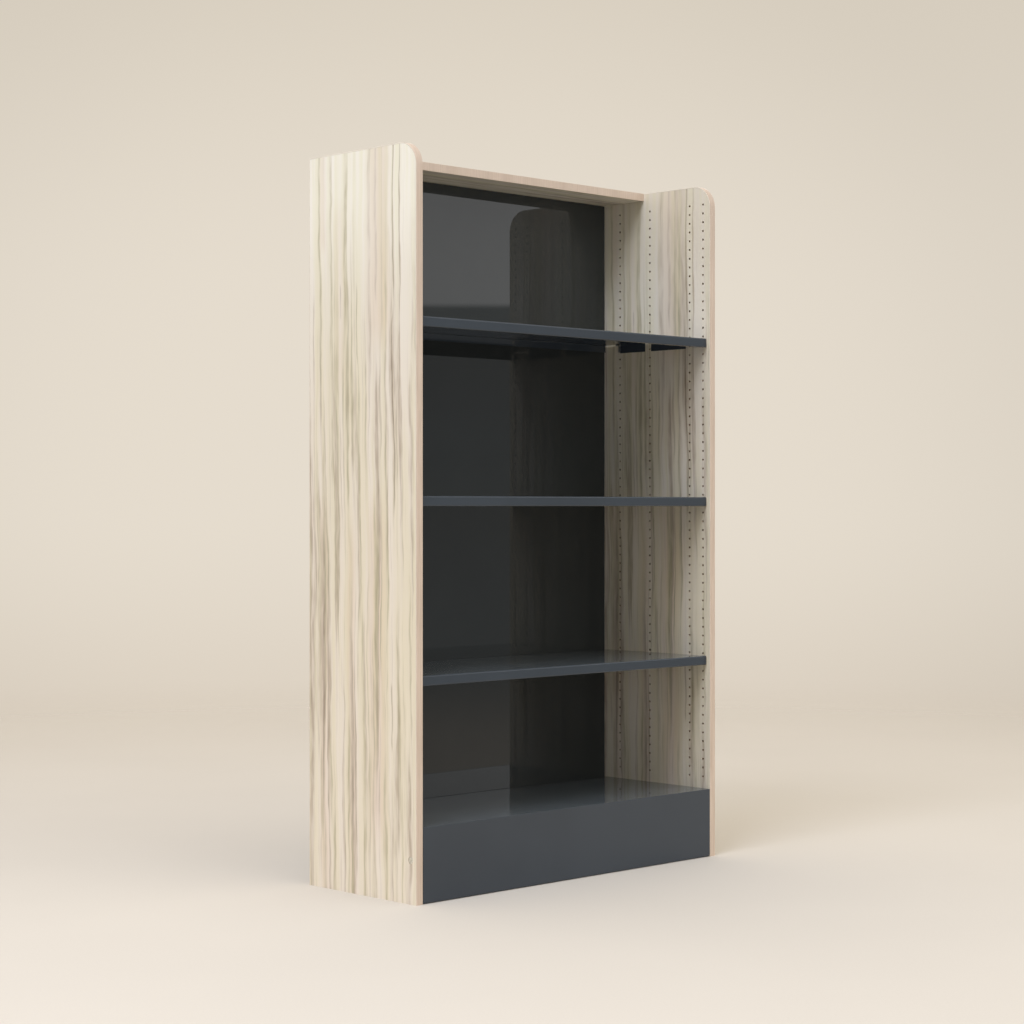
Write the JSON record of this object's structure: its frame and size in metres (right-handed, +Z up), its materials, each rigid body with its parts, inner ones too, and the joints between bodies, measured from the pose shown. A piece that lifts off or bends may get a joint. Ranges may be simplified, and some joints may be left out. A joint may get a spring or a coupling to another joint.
{
  "type": "single-sided library shelving bay",
  "caption": "Free-standing single-sided library shelving bay: drilled laminate end panels, steel back, base deck with kick plate, shallow top and steel shelves that lift off their clips.",
  "frame": {"origin": "on the floor, in the middle of the footprint", "axes": "+Z up, -Y towards the open front, +X to the right of a person facing the front"},
  "size_m": [0.905, 0.338, 1.5225],
  "materials": {
    "laminate": "pale elm laminate with a vertical grain, satin",
    "edge_band": "tan edge band, satin",
    "charcoal_steel": "charcoal powder coat, semi-gloss",
    "gloss_steel": "charcoal coat, high gloss",
    "zinc": "zinc plated",
    "black_plastic": "moulded, matt"
  },
  "bodies": {
    "carcass": {"left_end_panel": "laminate", "right_end_panel": "laminate", "left_front_edge_band": "edge_band", "right_front_edge_band": "edge_band", "left_rear_edge_band": "edge_band", "right_rear_edge_band": "edge_band", "top_panel": "laminate", "top_edge_band": "edge_band", "top_cam_left_front": "zinc", "top_cam_left_rear": "zinc", "top_cam_right_front": "zinc", "top_cam_right_rear": "zinc", "top_dowel_left_front": "zinc", "top_dowel_left_rear": "zinc", "top_dowel_right_front": "zinc", "top_dowel_right_rear": "zinc", "back_panel": "gloss_steel", "back_screw_left_lower": "zinc", "back_screw_left_middle": "zinc", "back_screw_left_upper": "zinc", "back_screw_right_lower": "zinc", "back_screw_right_middle": "zinc", "back_screw_right_upper": "zinc", "base_shelf": "charcoal_steel", "base_screw_left_front": "zinc", "base_screw_left_rear": "zinc", "base_screw_right_front": "zinc", "base_screw_right_rear": "zinc", "kick_plate": "charcoal_steel", "left_kick_bolt": "zinc", "right_kick_bolt": "zinc", "left_kick_nut": "zinc", "right_kick_nut": "zinc", "upper_clip_left_front": "zinc", "upper_clip_left_rear": "zinc", "upper_clip_right_front": "zinc", "upper_clip_right_rear": "zinc", "middle_clip_left_front": "zinc", "middle_clip_left_rear": "zinc", "middle_clip_right_front": "zinc", "middle_clip_right_rear": "zinc", "lower_clip_left_front": "zinc", "lower_clip_left_rear": "zinc", "lower_clip_right_front": "zinc", "lower_clip_right_rear": "zinc", "foot_bracket_left_front": "zinc", "foot_bracket_left_rear": "zinc", "foot_bracket_right_front": "zinc", "foot_bracket_right_rear": "zinc"},
    "upper_shelf": {"upper_shelf": "charcoal_steel"},
    "middle_shelf": {"middle_shelf": "charcoal_steel"},
    "lower_shelf": {"lower_shelf": "charcoal_steel"},
    "foot_left_front": {"foot_left_front": "black_plastic"},
    "foot_left_rear": {"foot_left_rear": "black_plastic"},
    "foot_right_front": {"foot_right_front": "black_plastic"},
    "foot_right_rear": {"foot_right_rear": "black_plastic"}
  },
  "joints": [
    {"name": "upper_shelf_lift", "type": "slide", "parent": "carcass", "child": "upper_shelf", "axis": [0, 0, 1], "range_m": [0, 0.3]},
    {"name": "middle_shelf_lift", "type": "slide", "parent": "carcass", "child": "middle_shelf", "axis": [0, 0, 1], "range_m": [0, 0.3]},
    {"name": "lower_shelf_lift", "type": "slide", "parent": "carcass", "child": "lower_shelf", "axis": [0, 0, 1], "range_m": [0, 0.3]},
    {"name": "foot_left_front_level", "type": "slide", "parent": "carcass", "child": "foot_left_front", "axis": [0, 0, -1], "range_m": [0, 0.02]},
    {"name": "foot_left_rear_level", "type": "slide", "parent": "carcass", "child": "foot_left_rear", "axis": [0, 0, -1], "range_m": [0, 0.02]},
    {"name": "foot_right_front_level", "type": "slide", "parent": "carcass", "child": "foot_right_front", "axis": [0, 0, -1], "range_m": [0, 0.02]},
    {"name": "foot_right_rear_level", "type": "slide", "parent": "carcass", "child": "foot_right_rear", "axis": [0, 0, -1], "range_m": [0, 0.02]}
  ]
}
